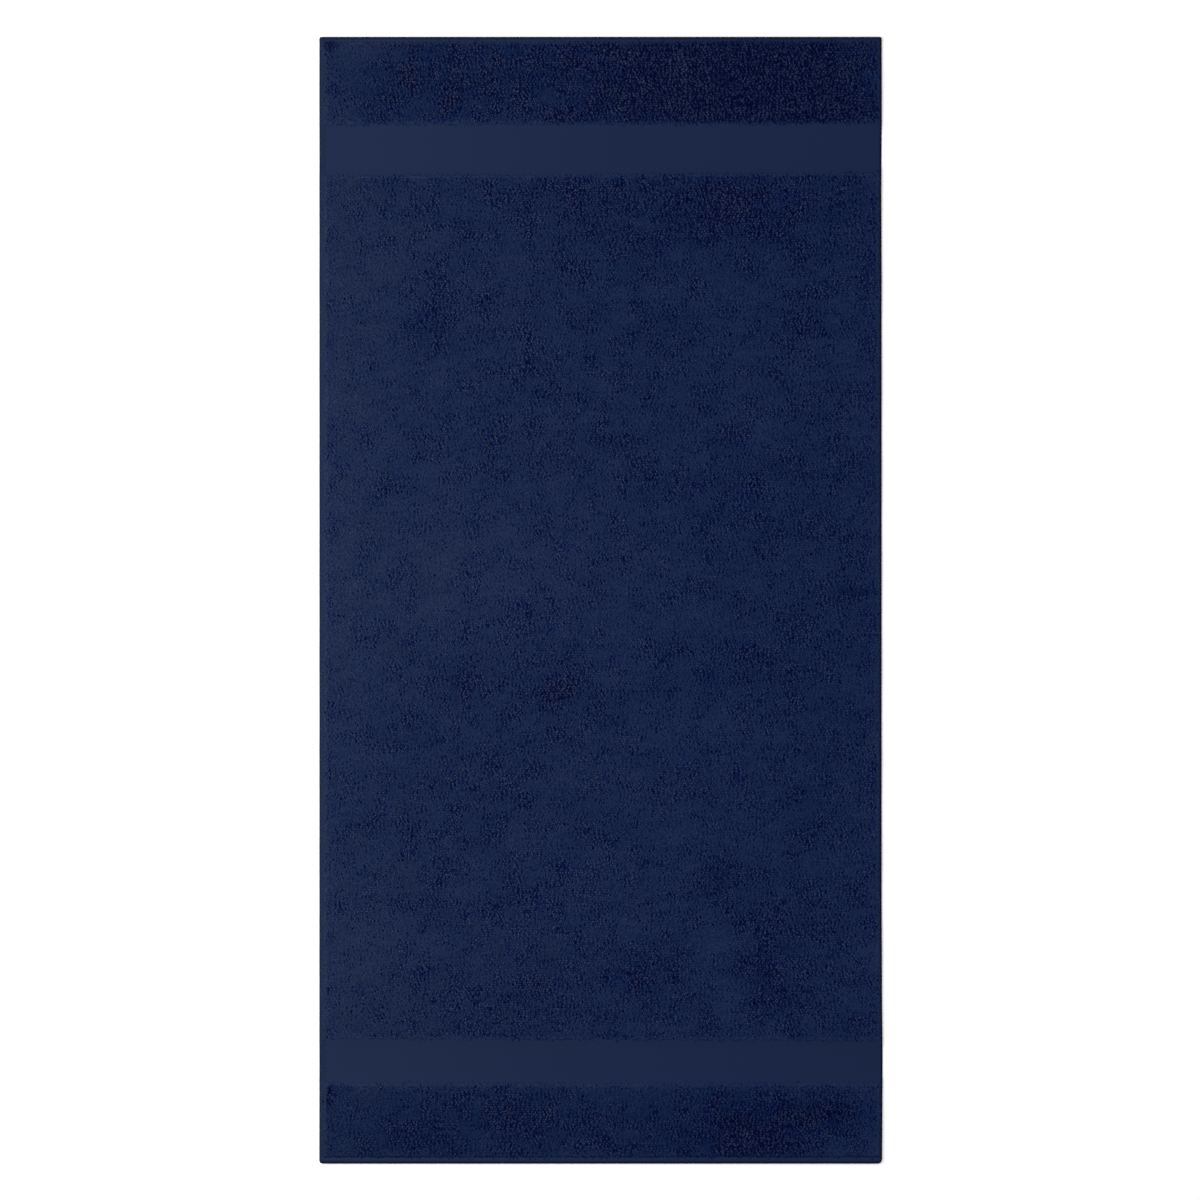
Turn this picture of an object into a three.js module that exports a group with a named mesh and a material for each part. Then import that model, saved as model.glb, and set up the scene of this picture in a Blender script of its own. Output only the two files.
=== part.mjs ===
// A bath towel lying flat, face up. It is one cotton cloth, woven in one piece: looped pile on both faces,
// a flat-woven band near each end, a plain selvedge down each long side and a hem turned at each end.
// Millimetres. X runs across the towel, Y along it and Z up.
// The origin is on the surface that the towel lies on, under its middle.
import * as THREE from "three";

// Driving sizes of the towel
const WIDTH = 700;
const LENGTH = 1400;
const CORNER_RADIUS = 2.5;
const PILE_THICKNESS = 4.4;
const GROUND_THICKNESS = 1.3;
const HEM_THICKNESS = 2.8;
const LEFT_SELVEDGE = 6;
const RIGHT_SELVEDGE = 3.6;

// The towel's colour and finish
const NAVY = 0x1a2545;
const CLOTH_ROUGHNESS = 0.95;

// Sections along the towel, from the bottom hem up. The last three columns are the height of the section's
// upper line above the towel's bottom edge, at the left side, in the middle and at the right side.
const SECTIONS = [
  { name: "bottom hem", weave: "hem", left: 8.4, middle: 8.4, right: 8.4 },
  { name: "bottom end panel", weave: "pile", left: 100.4, middle: 99.7, right: 100.3 },
  { name: "bottom band", weave: "flat", left: 155.7, middle: 154.8, right: 153.5 },
  { name: "field", weave: "pile", left: 1226.3, middle: 1228.7, right: 1230.2 },
  { name: "top band", weave: "flat", left: 1291.1, middle: 1291.6, right: 1292.4 },
  { name: "top end panel", weave: "pile", left: 1393.4, middle: 1393.8, right: 1394.6 },
  { name: "top hem", weave: "hem", left: LENGTH, middle: LENGTH, right: LENGTH },
];

// Sections across the towel, from the left side, each with how far its right edge is from that side
const STRIPS = [
  { name: "left selvedge", weave: "selvedge", to: LEFT_SELVEDGE },
  { name: "width between the selvedges", weave: "pile", to: WIDTH - RIGHT_SELVEDGE },
  { name: "right selvedge", weave: "selvedge", to: WIDTH },
];

// How far the right side stands in from its widest, by height above the bottom edge
const RIGHT_SIDE = [
  { height: 0, standsIn: 0.8 },
  { height: 130, standsIn: 0 },
  { height: 200, standsIn: 0.7 },
  { height: 340, standsIn: 1.3 },
  { height: 1120, standsIn: 1.3 },
  { height: 1210, standsIn: 1.7 },
  { height: 1290, standsIn: 1.1 },
  { height: LENGTH, standsIn: 1.2 },
];

// Soft hollows, where the pile has been pressed. Centres are measured from the left side and the bottom edge,
// and across and along are half the hollow's size each way.
const HOLLOWS = [
  { x: 505, y: 1345, across: 150, along: 42, depth: 0.7 },
  { x: 520, y: 1175, across: 170, along: 55, depth: 0.6 },
  { x: 545, y: 1035, across: 150, along: 50, depth: 0.5 },
  { x: 125, y: 1035, across: 75, along: 45, depth: 0.4 },
  { x: 500, y: 615, across: 80, along: 50, depth: 0.5 },
  { x: 210, y: 600, across: 85, along: 45, depth: 0.4 },
  { x: 595, y: 255, across: 95, along: 70, depth: 0.5 },
  { x: 515, y: 50, across: 65, along: 42, depth: 0.8 },
];

// The short crease that runs in from the right side
const CREASE = { x: 675, y: 710, across: 34, along: 5, depth: 1.3 };

// How the pile's loops round over at its edges, and how the flat weave beside them settles onto the surface
const PILE_ROUNDING = 5;
const SETTLING = 13;

// The rim's roundness, as a share of the cloth's thickness there
const RIM_ROUNDNESS = 0.36;

// Where the hem's folded layers begin, in from the last row of pile
const HEM_STEP = 1.2;

// The lasting unevenness of cloth that has been folded and laid out again: the height of its waves, the
// length of the two that cross each other, and how far each one slants
const RIPPLE_HEIGHT = 0.18;
const FIRST_RIPPLE = { length: 96, slant: 0.35 };
const SECOND_RIPPLE = { length: 137, slant: 0.6 };

// The selvedge's own waves: their length, and the share of its height that it keeps where it dips
const SELVEDGE_WAVE = 118;
const SELVEDGE_DIP = 0.4;

// Spacing of the rows and columns of facets, in from the edges of each weave and over its middle
const PILE_ROWS = [0, 1.4, PILE_ROUNDING];
const FLAT_ROWS = [0, 5, SETTLING];
const HEM_ROWS = [0, HEM_STEP];
const SELVEDGE_ROWS = [0, 1.2];
const FIELD_STEP = 37;

// The crease's own rows, in half-widths from its middle, and the room they leave to the next row
const CREASE_ROWS = [-2.2, -1, 0, 1, 2.2];
const CREASE_CLEARANCE = 22;

const EDGE_ROWS = { pile: PILE_ROWS, flat: FLAT_ROWS, hem: HEM_ROWS, selvedge: SELVEDGE_ROWS };

function smooth(share) {
  const s = THREE.MathUtils.clamp(share, 0, 1);
  return s * s * (3 - 2 * s);
}

// The height of a line across the towel, given at the left side, in the middle and at the right side
function heightOnLine(line, across) {
  if (across < 0.5) {
    return THREE.MathUtils.lerp(line.left, line.middle, across * 2);
  }
  return THREE.MathUtils.lerp(line.middle, line.right, across * 2 - 1);
}

function rightSideStandsIn(height) {
  for (let i = 1; i < RIGHT_SIDE.length; i++) {
    const below = RIGHT_SIDE[i - 1];
    const above = RIGHT_SIDE[i];
    if (height <= above.height) {
      const share = (height - below.height) / (above.height - below.height);
      return THREE.MathUtils.lerp(below.standsIn, above.standsIn, smooth(share));
    }
  }
  return RIGHT_SIDE[RIGHT_SIDE.length - 1].standsIn;
}

// Places through a section of the given size: close together at its two edges and even between them
function placesThrough(size, edgeRows) {
  const margin = edgeRows[edgeRows.length - 1];
  const middle = size - 2 * margin;
  const steps = Math.max(1, Math.round(middle / FIELD_STEP));
  const places = [...edgeRows];
  for (let i = 1; i < steps; i++) {
    places.push(margin + (middle * i) / steps);
  }
  for (const row of [...edgeRows].reverse()) {
    places.push(size - row);
  }
  return places;
}

// The crease is narrower than the even steps, so it gets rows of its own in place of the nearest ones
function withCreaseRows(places, start) {
  const centre = CREASE.y - start;
  const kept = places.filter((place) => Math.abs(place - centre) > CREASE_CLEARANCE);
  const creaseRows = CREASE_ROWS.map((share) => centre + share * CREASE.along);
  return [...kept, ...creaseRows].sort((a, b) => a - b);
}

// Rows of facets along the towel: the section each is in, and its share of the way up that section
function makeRows() {
  const rows = [];
  let start = 0;
  SECTIONS.forEach((section, index) => {
    const size = section.middle - start;
    let places = placesThrough(size, EDGE_ROWS[section.weave]);
    if (section.name === "field") {
      places = withCreaseRows(places, start);
    }
    for (const place of places) {
      if (place > 0 || index === 0) {
        rows.push({ section: index, share: place / size, height: start + place });
      }
    }
    start = section.middle;
  });
  return rows;
}

// Columns of facets across the towel, by their distance from the left side
function makeColumns() {
  const columns = [];
  let start = 0;
  STRIPS.forEach((strip, index) => {
    for (const place of placesThrough(strip.to - start, EDGE_ROWS[strip.weave])) {
      if (place > 0 || index === 0) {
        columns.push(start + place);
      }
    }
    start = strip.to;
  });
  return columns;
}

// How far the rounded corner cuts in from the end of the towel, at a distance from its side
function cornerCut(fromSide, radius) {
  if (fromSide >= radius) {
    return 0;
  }
  return radius - Math.sqrt(radius * radius - (radius - fromSide) ** 2);
}

// Where a column and a row meet, measured from the left side and the bottom edge. The outermost ones stand
// in from the towel's outline by inset, which leaves room for the rim to round.
function planPoint(column, row, inset) {
  const width = WIDTH - rightSideStandsIn(row.height);
  const x = inset + (column / WIDTH) * (width - 2 * inset);
  const across = x / width;
  const fromSide = Math.max(0, Math.min(x, width - x) - inset);
  const cut = cornerCut(fromSide, CORNER_RADIUS - inset) + inset;
  const isLast = row.section === SECTIONS.length - 1;
  const lower = row.section === 0 ? cut : heightOnLine(SECTIONS[row.section - 1], across);
  const upper = heightOnLine(SECTIONS[row.section], across) - (isLast ? cut : 0);
  return { x, y: THREE.MathUtils.lerp(lower, upper, row.share) };
}

// How far in from the outline the top and underside end, where the rim begins to round
function rimInset(row) {
  const isHem = SECTIONS[row.section].weave === "hem";
  return RIM_ROUNDNESS * (isHem ? HEM_THICKNESS : GROUND_THICKNESS);
}

// Distance into the pile from its nearest edge. Outside the pile it is negative.
function depthIntoPile(x, y, width) {
  const across = x / width;
  let along = -Infinity;
  SECTIONS.forEach((section, index) => {
    if (section.weave === "pile") {
      const lower = heightOnLine(SECTIONS[index - 1], across);
      const upper = heightOnLine(section, across);
      along = Math.max(along, Math.min(y - lower, upper - y));
    }
  });
  const sideways = Math.min(x - LEFT_SELVEDGE, width - RIGHT_SELVEDGE - x);
  return Math.min(along, sideways);
}

// Distance past the pile into the nearer hem. Elsewhere it is negative.
function depthIntoHem(x, y, width) {
  const across = x / width;
  const bottom = heightOnLine(SECTIONS[0], across) - y;
  const top = y - heightOnLine(SECTIONS[SECTIONS.length - 2], across);
  return Math.max(bottom, top);
}

function hollowDepth(hollow, x, y) {
  const across = (x - hollow.x) / hollow.across;
  const along = (y - hollow.y) / hollow.along;
  return hollow.depth * Math.exp(-across * across - along * along);
}

function ripple(x, y) {
  const first = Math.sin((2 * Math.PI * (x + FIRST_RIPPLE.slant * y)) / FIRST_RIPPLE.length);
  const second = Math.sin((2 * Math.PI * (y - SECOND_RIPPLE.slant * x)) / SECOND_RIPPLE.length);
  return RIPPLE_HEIGHT * first * second;
}

// How far the cloth beside the pile is held up: 1 in the pile, where the ground weave lies between two layers
// of loops, down to 0 where it has settled onto the surface. The selvedges stay up here and there.
function liftBesidePile(depth, y) {
  if (depth >= 0) {
    return 1;
  }
  const settled = 1 - smooth(-depth / SETTLING);
  const wave = (1 + Math.sin((2 * Math.PI * y) / SELVEDGE_WAVE)) / 2;
  const kept = THREE.MathUtils.lerp(SELVEDGE_DIP, 1, wave);
  return settled * THREE.MathUtils.lerp(1, kept, smooth(-depth / LEFT_SELVEDGE));
}

// How high the cloth's underside and top are, at a point measured from the left side and the bottom edge
function clothAt(x, y) {
  const width = WIDTH - rightSideStandsIn(y);
  const depth = depthIntoPile(x, y, width);
  const hemShare = smooth(depthIntoHem(x, y, width) / HEM_STEP);
  const ground = THREE.MathUtils.lerp(GROUND_THICKNESS, HEM_THICKNESS, hemShare);
  const pileShare = depth <= 0 ? 0 : 1 - (1 - Math.min(depth / PILE_ROUNDING, 1)) ** 3;
  const loops = ((PILE_THICKNESS - GROUND_THICKNESS) / 2) * pileShare;
  const lift = liftBesidePile(depth, y);
  const middle = THREE.MathUtils.lerp(ground / 2, PILE_THICKNESS / 2, lift);
  let pressed = hollowDepth(CREASE, x, y) - ripple(x, y);
  for (const hollow of HOLLOWS) {
    pressed += hollowDepth(hollow, x, y);
  }
  const underside = Math.max(0, middle - ground / 2 - loops);
  const top = middle + ground / 2 + loops - pressed * pileShare;
  return { underside, top };
}

// Two triangles for a four-sided facet whose corners run anticlockwise as seen from outside
function addFacet(triangles, a, b, c, d) {
  triangles.push(a, b, c, a, c, d);
}

function makeTowel() {
  const rows = makeRows();
  const columns = makeColumns();
  const points = [];
  const triangles = [];
  const addPoint = (x, y, z) => {
    points.push(x - WIDTH / 2, y - LENGTH / 2, z);
    return points.length / 3 - 1;
  };

  // The top and the underside, row by row
  const tops = [];
  const undersides = [];
  for (const row of rows) {
    const topRow = [];
    const undersideRow = [];
    for (const column of columns) {
      const { x, y } = planPoint(column, row, rimInset(row));
      const cloth = clothAt(x, y);
      topRow.push(addPoint(x, y, cloth.top));
      undersideRow.push(addPoint(x, y, cloth.underside));
    }
    tops.push(topRow);
    undersides.push(undersideRow);
  }
  for (let r = 1; r < rows.length; r++) {
    for (let c = 1; c < columns.length; c++) {
      const lowerTop = tops[r - 1];
      const lowerUnder = undersides[r - 1];
      addFacet(triangles, lowerTop[c - 1], lowerTop[c], tops[r][c], tops[r][c - 1]);
      addFacet(triangles, lowerUnder[c - 1], undersides[r][c - 1], undersides[r][c], lowerUnder[c]);
    }
  }

  // The rim, anticlockwise round the outline, with its outermost points halfway up the cloth
  const lastRow = rows.length - 1;
  const lastColumn = columns.length - 1;
  const outline = [];
  for (let c = 0; c < lastColumn; c++) {
    outline.push([0, c]);
  }
  for (let r = 0; r < lastRow; r++) {
    outline.push([r, lastColumn]);
  }
  for (let c = lastColumn; c > 0; c--) {
    outline.push([lastRow, c]);
  }
  for (let r = lastRow; r > 0; r--) {
    outline.push([r, 0]);
  }
  const rim = outline.map(([r, c]) => {
    const { x, y } = planPoint(columns[c], rows[r], 0);
    const cloth = clothAt(x, y);
    return addPoint(x, y, (cloth.top + cloth.underside) / 2);
  });
  outline.forEach(([r, c], i) => {
    const next = (i + 1) % outline.length;
    const [nextRow, nextColumn] = outline[next];
    addFacet(triangles, undersides[r][c], undersides[nextRow][nextColumn], rim[next], rim[i]);
    addFacet(triangles, rim[i], rim[next], tops[nextRow][nextColumn], tops[r][c]);
  });

  const geometry = new THREE.BufferGeometry();
  geometry.setAttribute("position", new THREE.Float32BufferAttribute(points, 3));
  geometry.setIndex(triangles);
  geometry.computeVertexNormals();
  return geometry;
}

const terryCotton = new THREE.MeshStandardMaterial({ color: NAVY, roughness: CLOTH_ROUGHNESS, metalness: 0 });

const towel = new THREE.Mesh(makeTowel(), terryCotton);
towel.name = "towel";

const bathTowel = new THREE.Group();
bathTowel.add(towel);

export default bathTowel;
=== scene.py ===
# %% [markdown]
# # A navy bath towel, laid out flat
# A bath towel is one length of terry cloth. The loom holds a flat ground weave tight and lets a second,
# slack set of yarns stand up from it in loops, on both faces. Near each end it stops making loops for a few
# centimetres, which leaves a smooth band. The sides finish in a plain selvedge, and each end is turned over
# and sewn down in a hem.
#
# This lesson builds the towel in that order: the cloth first, then the loops, then the sewing. The packed
# model gives its place and size, so it is loaded before anything else.

# %% The frame
from math import radians

import bmesh
import bpy
import numpy as np
from mathutils import Matrix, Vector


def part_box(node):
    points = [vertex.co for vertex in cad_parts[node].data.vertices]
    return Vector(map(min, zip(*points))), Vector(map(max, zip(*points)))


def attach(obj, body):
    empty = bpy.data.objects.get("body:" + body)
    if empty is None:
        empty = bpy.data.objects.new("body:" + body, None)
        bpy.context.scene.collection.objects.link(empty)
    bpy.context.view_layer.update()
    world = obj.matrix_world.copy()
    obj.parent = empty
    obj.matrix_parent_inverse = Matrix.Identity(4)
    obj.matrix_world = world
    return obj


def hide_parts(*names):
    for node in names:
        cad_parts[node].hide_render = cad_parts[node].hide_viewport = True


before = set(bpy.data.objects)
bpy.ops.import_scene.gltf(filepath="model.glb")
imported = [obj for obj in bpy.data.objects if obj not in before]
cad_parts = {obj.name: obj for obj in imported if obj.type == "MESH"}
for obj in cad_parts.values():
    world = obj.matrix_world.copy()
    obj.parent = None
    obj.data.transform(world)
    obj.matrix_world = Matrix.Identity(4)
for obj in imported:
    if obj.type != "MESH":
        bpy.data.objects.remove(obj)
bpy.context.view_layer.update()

low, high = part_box("towel")
WIDTH = high.x - low.x
LENGTH = high.y - low.y
print(f"The towel is {WIDTH:.3f} by {LENGTH:.3f} m and {high.z * 1000:.1f} mm thick")

# %% [markdown]
# ## The camera
# The towel is photographed from straight above, and its sides come out parallel, so the lens is a long one,
# far away. A camera without perspective would do as well from here, but a lens also suits the views from
# the side. How far away it hangs follows from the picture: the towel takes up a known share of the
# picture's height, so the whole picture is so many metres high where the towel lies. A lens of focal length
# f over a square film of width w sees a square of side s from the distance s * f / w.

# %% The camera, straight above
PICTURE_SIDE = 1200
TOWEL_LENGTH_IN_PICTURE = 1127.7
TOWEL_CENTRE_IN_PICTURE = (601.0, 600.3)
LENS = 85
FILM = 36

metres_per_pixel = LENGTH / TOWEL_LENGTH_IN_PICTURE
camera_height = metres_per_pixel * PICTURE_SIDE * LENS / FILM
half_picture = PICTURE_SIDE / 2
camera_data = bpy.data.cameras.new("camera_above")
camera_data.lens = LENS
camera_data.sensor_width = FILM
camera = bpy.data.objects.new("camera_above", camera_data)
camera.location = (
    (half_picture - TOWEL_CENTRE_IN_PICTURE[0]) * metres_per_pixel,
    (TOWEL_CENTRE_IN_PICTURE[1] - half_picture) * metres_per_pixel,
    camera_height + high.z,
)
bpy.context.scene.collection.objects.link(camera)
bpy.context.scene.camera = camera
print(f"The camera hangs {camera_height:.2f} m up, and a pixel is {metres_per_pixel * 1000:.3f} mm")

# %% [markdown]
# ## Small helpers
# A shader or a Geometry Nodes tree is a set of nodes joined by links. Written out in full that is long, so
# one helper makes a node with its values and its incoming links in a single call. A second one starts a
# material, and a third puts a finished material on a piece.

# %% Helpers for nodes and materials
def add_node(tree, kind, inputs=None, **settings):
    """A new node. inputs maps a socket's name or number to a value, or to the output that feeds it."""
    node = tree.nodes.new(kind)
    for name, value in settings.items():
        setattr(node, name, value)
    for key, value in (inputs or {}).items():
        if isinstance(value, bpy.types.NodeSocket):
            tree.links.new(value, node.inputs[key])
        else:
            node.inputs[key].default_value = value
    return node


def new_material(name):
    """An empty node material, its tree, its Principled shader and its object coordinates."""
    material = bpy.data.materials.new(name)
    material.use_nodes = True
    tree = material.node_tree
    shader = tree.nodes["Principled BSDF"]
    place = add_node(tree, "ShaderNodeTexCoord").outputs["Object"]
    return material, tree, shader, place


def put_on(piece, material):
    piece.data.materials.clear()
    piece.data.materials.append(material)
    print(f"{piece.name} is made of {material.name}")


# %% [markdown]
# ## The studio
# The backdrop is a bright, even white, with hardly a shadow. A white floor under a white sky gives that.
# One large soft lamp to the left is nearer to the towel's left side, so it lights that side more, as in the
# picture, and it comes in at a slant, which shades the little loops. More lamps would only blur that
# shading.

# %% Floor, sky and lamp
FLOOR_SIZE = 30
FLOOR_WHITE = (0.95, 0.95, 0.95, 1)
SKY_WHITE = (1, 1, 1, 1)
SKY_STRENGTH = 0.82
LAMP_POWER = 38
LAMP_PLACE = (-1.40, 0.15, 1.25)
LAMP_SIZE = (0.9, 2.4)

floor_mesh = bpy.data.meshes.new("floor")
bm = bmesh.new()
bmesh.ops.create_grid(bm, x_segments=1, y_segments=1, size=FLOOR_SIZE / 2)
bm.to_mesh(floor_mesh)
bm.free()
floor = bpy.data.objects.new("floor", floor_mesh)
bpy.context.scene.collection.objects.link(floor)
floor_material, _, floor_shader, _ = new_material("white_paper")
floor_shader.inputs["Base Color"].default_value = FLOOR_WHITE
floor_shader.inputs["Roughness"].default_value = 1
floor_shader.inputs["Specular IOR Level"].default_value = 0
put_on(floor, floor_material)

world = bpy.data.worlds.new("white_sky")
world.use_nodes = True
world.node_tree.nodes["Background"].inputs["Color"].default_value = SKY_WHITE
world.node_tree.nodes["Background"].inputs["Strength"].default_value = SKY_STRENGTH
bpy.context.scene.world = world
bpy.context.scene.view_settings.view_transform = "Standard"

lamp_data = bpy.data.lights.new("window_light", "AREA")
lamp_data.shape = "RECTANGLE"
lamp_data.size, lamp_data.size_y = LAMP_SIZE
lamp_data.energy = LAMP_POWER
lamp = bpy.data.objects.new("window_light", lamp_data)
lamp.location = LAMP_PLACE
lamp.rotation_euler = (-lamp.location).to_track_quat("-Z", "Y").to_euler()
bpy.context.scene.collection.objects.link(lamp)
print(f"The lamp is {lamp.location.length:.2f} m from the middle of the towel")

# %% [markdown]
# ## The sections of the cloth
# Everything on the towel is placed from its left side and its bottom edge. The weave changes along lines
# across the towel. They aren't quite square to its sides, so each is given at the left side, in the middle
# and at the right side. A painted mask could mark the weaves too, but the cloth, the loops and the colours
# all have to ask which weave is where, and a short list of lines answers them exactly.

# %% Sections, edges and thicknesses
LEFT_SELVEDGE = 0.0060
RIGHT_SELVEDGE = 0.0036
TOP_CORNER_RADII = (0.0025, 0.0025)
BOTTOM_CORNER_RADII = (0.0040, 0.0055)
PILE_THICKNESS = 0.0044
GROUND_THICKNESS = 0.0013
HEM_THICKNESS = 0.0028

SECTIONS = [
    {"name": "bottom_hem", "weave": "hem", "upper": (0.0084, 0.0084, 0.0084)},
    {"name": "bottom_end_panel", "weave": "pile", "upper": (0.1004, 0.0997, 0.1003)},
    {"name": "bottom_band", "weave": "flat", "upper": (0.1557, 0.1548, 0.1535)},
    {"name": "field", "weave": "pile", "upper": (1.2263, 1.2287, 1.2302)},
    {"name": "top_band", "weave": "flat", "upper": (1.2911, 1.2916, 1.2924)},
    {"name": "top_end_panel", "weave": "pile", "upper": (1.3934, 1.3938, 1.3946)},
    {"name": "top_hem", "weave": "hem", "upper": (LENGTH, LENGTH, LENGTH)},
]
lower_line = (0.0, 0.0, 0.0)
for section in SECTIONS:
    section["lower"] = lower_line
    lower_line = section["upper"]

# How far the right side stands in from its widest, by height above the bottom edge
RIGHT_SIDE_HEIGHTS = (0, 0.130, 0.200, 0.340, 1.120, 1.210, 1.290, 1.400)
RIGHT_SIDE_STANDS_IN = (0.0008, 0, 0.0007, 0.0013, 0.0013, 0.0017, 0.0011, 0.0012)


def smooth(share):
    """0 below 0, 1 above 1, and an easy curve between."""
    share = np.clip(share, 0, 1)
    return share * share * (3 - 2 * share)


def width_at(y):
    return WIDTH - np.interp(y, RIGHT_SIDE_HEIGHTS, RIGHT_SIDE_STANDS_IN)


def height_on(line, across):
    """How high a line lies at some share of the way across the towel."""
    return np.interp(across, (0, 0.5, 1), line)


for section in SECTIONS:
    tall = 1000 * (section["upper"][1] - section["lower"][1])
    print(f"{section['name']}: {section['weave']} weave, {tall:.1f} mm")

# %% [markdown]
# ## How high the cloth lies
# Where there is pile, the ground weave hangs in the middle of the loops' thickness. In the bands it settles
# down onto the surface within a centimetre or so. The hems are folded double, with a groove where the
# stitches pull them in, and the pile has ripples and soft hollows where it has been pressed.
#
# All that could be sculpted, or raised by a displacement texture. Here a few functions say how high the
# underside and the top are at any point. The cloth and the loops both use them, so they can't come apart.

# %% How far into the pile a point lies
FAR_OUTSIDE = -1.0


def depth_into_pile(x, y):
    """Distance into the pile from its nearest edge, and less than 0 outside it."""
    across = x / width_at(y)
    along = np.full_like(x, FAR_OUTSIDE)
    for section in SECTIONS:
        if section["weave"] == "pile":
            above_lower = y - height_on(section["lower"], across)
            below_upper = height_on(section["upper"], across) - y
            along = np.maximum(along, np.minimum(above_lower, below_upper))
    sideways = np.minimum(x - LEFT_SELVEDGE, width_at(y) - RIGHT_SELVEDGE - x)
    return np.minimum(along, sideways)


for height in (0.05, 0.13, 0.70):
    depth = depth_into_pile(np.array([WIDTH / 2]), np.array([height]))[0]
    print(f"{height:.2f} m up the middle, a point is {depth * 1000:.0f} mm into the pile")

# %% Hems and the grooves of their stitches
HEM_STEP = 0.0012
STITCH_INSETS = (0.0021, 0.0034)
GROOVE_DEPTH = 0.0006
GROOVE_HALF_WIDTH = 0.0009


def hem_share(x, y):
    """1 in the turned hems, 0 elsewhere, with a short step between."""
    across = x / width_at(y)
    bottom = height_on(SECTIONS[0]["upper"], across) - y
    top = y - height_on(SECTIONS[-1]["lower"], across)
    return smooth(np.maximum(bottom, top) / HEM_STEP)


def groove_depth(x, y):
    """The shallow groove that a row of stitches pulls into each hem, on both faces."""
    nearest = np.minimum(np.abs(y - STITCH_INSETS[0]), np.abs(LENGTH - STITCH_INSETS[1] - y))
    return GROOVE_DEPTH * (1 - smooth(nearest / GROOVE_HALF_WIDTH))


for inset in STITCH_INSETS:
    print(f"A groove {GROOVE_DEPTH * 1000:.1f} mm deep runs {inset * 1000:.1f} mm in from an end")

# %% Ripples and pressed hollows
RIPPLE_HEIGHT = 0.00018
# The length of each wave and its slant
FIRST_RIPPLE = (0.096, 0.35)
SECOND_RIPPLE = (0.137, 0.6)

# Middle from the left side and the bottom edge, half size across and along, depth. The last is a crease.
HOLLOWS = [
    (0.505, 1.345, 0.150, 0.042, 0.0007),
    (0.520, 1.175, 0.170, 0.055, 0.0006),
    (0.545, 1.035, 0.150, 0.050, 0.0005),
    (0.125, 1.035, 0.075, 0.045, 0.0004),
    (0.500, 0.615, 0.080, 0.050, 0.0005),
    (0.210, 0.600, 0.085, 0.045, 0.0004),
    (0.595, 0.255, 0.095, 0.070, 0.0005),
    (0.515, 0.050, 0.065, 0.042, 0.0008),
    (0.675, 0.710, 0.034, 0.005, 0.0013),
]


def soft_spots(x, y, spots):
    """The sum of soft round spots, each given as its middle, its half sizes and how much it adds."""
    total = np.zeros_like(x)
    for middle_x, middle_y, half_across, half_along, amount in spots:
        far = ((x - middle_x) / half_across) ** 2 + ((y - middle_y) / half_along) ** 2
        total = total + amount * np.exp(-far)
    return total


def pressed_depth(x, y):
    """How far the top lies below its full height. Two slanting waves cross under the hollows."""
    first = np.sin(2 * np.pi * (x + FIRST_RIPPLE[1] * y) / FIRST_RIPPLE[0])
    second = np.sin(2 * np.pi * (y - SECOND_RIPPLE[1] * x) / SECOND_RIPPLE[0])
    return soft_spots(x, y, HOLLOWS) - RIPPLE_HEIGHT * first * second


crease = pressed_depth(np.array([HOLLOWS[-1][0]]), np.array([HOLLOWS[-1][1]]))[0]
print(f"{len(HOLLOWS)} hollows, of which the last, the crease, is {crease * 1000:.1f} mm deep")

# %% The underside and the top
PILE_ROUNDING = 0.005
SETTLING = 0.013
SELVEDGE_WAVE = 0.118
SELVEDGE_DIP = 0.4
LOOP_ROOM = 0.0009


def cloth_at(x, y):
    """The underside and the top of the cloth without its upper loops, and the share of pile on it."""
    depth = depth_into_pile(x, y)
    ground = GROUND_THICKNESS + (HEM_THICKNESS - GROUND_THICKNESS) * hem_share(x, y)
    pile = np.where(depth > 0, 1 - (1 - np.clip(depth / PILE_ROUNDING, 0, 1)) ** 3, 0)
    settled = smooth(-depth / SETTLING)
    wave = (1 + np.sin(2 * np.pi * y / SELVEDGE_WAVE)) / 2
    kept = SELVEDGE_DIP + (1 - SELVEDGE_DIP) * wave
    lift = (1 - settled) * (1 - (1 - kept) * smooth(-depth / LEFT_SELVEDGE))
    middle = ground / 2 * (1 - lift) + PILE_THICKNESS / 2 * lift
    loops = (PILE_THICKNESS - GROUND_THICKNESS) / 2 * pile
    groove = groove_depth(x, y)
    underside = np.maximum(0, middle - ground / 2 - loops) + groove
    top = middle + ground / 2 + loops - groove - pile * (LOOP_ROOM + pressed_depth(x, y))
    return underside, top, pile


for section in SECTIONS:
    halfway_up = (section["lower"][1] + section["upper"][1]) / 2
    underside, top, _ = cloth_at(np.array([WIDTH / 2]), np.array([halfway_up]))
    print(f"{section['name']}: from {underside[0] * 1000:.2f} to {top[0] * 1000:.2f} mm up")

# %% [markdown]
# ## The woven cloth
# The ground weave is one thin sheet. A plane with a Solidify modifier would be quick to make, but its
# underside would copy its top, and this cloth rests flat under the pile while its top is uneven.
#
# So the cloth is a grid. A grid of even squares would be wasteful in the middle and too coarse at the lines
# where the weave changes, so the operator's even grid is made first and its rows and columns are then
# moved: close together beside each line, wider apart between. A second copy, turned over, is the underside,
# and a bridge between the two rims closes the edge. The bridge is cut along its length, so that it can be
# rounded.

# %% Rows and columns of the grid
STEP = 0.0080
EDGE_PLACES = {
    "pile": (0, 0.0008, 0.002, 0.004, 0.007),
    "flat": (0, 0.001, 0.0025, 0.005, 0.009, 0.013),
    "hem": (0, 0.0006, 0.0014, 0.0021, 0.0028, 0.0036),
    "selvedge": (0, 0.0004, 0.0009, 0.0016),
}


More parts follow.
